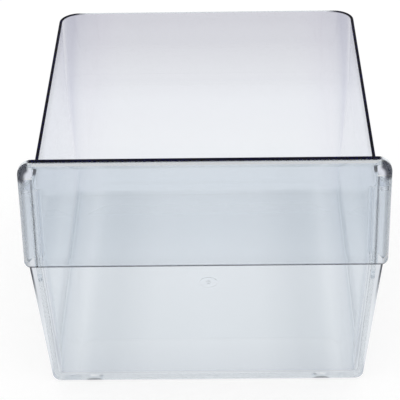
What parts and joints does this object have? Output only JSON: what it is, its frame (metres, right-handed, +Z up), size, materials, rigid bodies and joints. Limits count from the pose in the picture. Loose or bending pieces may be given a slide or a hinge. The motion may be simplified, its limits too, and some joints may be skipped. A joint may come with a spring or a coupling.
{
  "type": "fridge crisper drawer",
  "caption": "Clear moulded fridge crisper drawer: an open-topped tub with tapered lower walls, a deep smooth front apron standing above the rim, and low feet.",
  "frame": {"origin": "middle of the underside, at the height the feet rest on", "axes": "+X across the drawer, +Y from the front apron to the back wall, +Z up"},
  "size_m": [0.25, 0.284, 0.188],
  "materials": {
    "clear_plastic": "clear polished moulding with a faint blue-grey tint"
  },
  "bodies": {
    "root": {"crisper_drawer": "clear_plastic"}
  },
  "joints": []
}
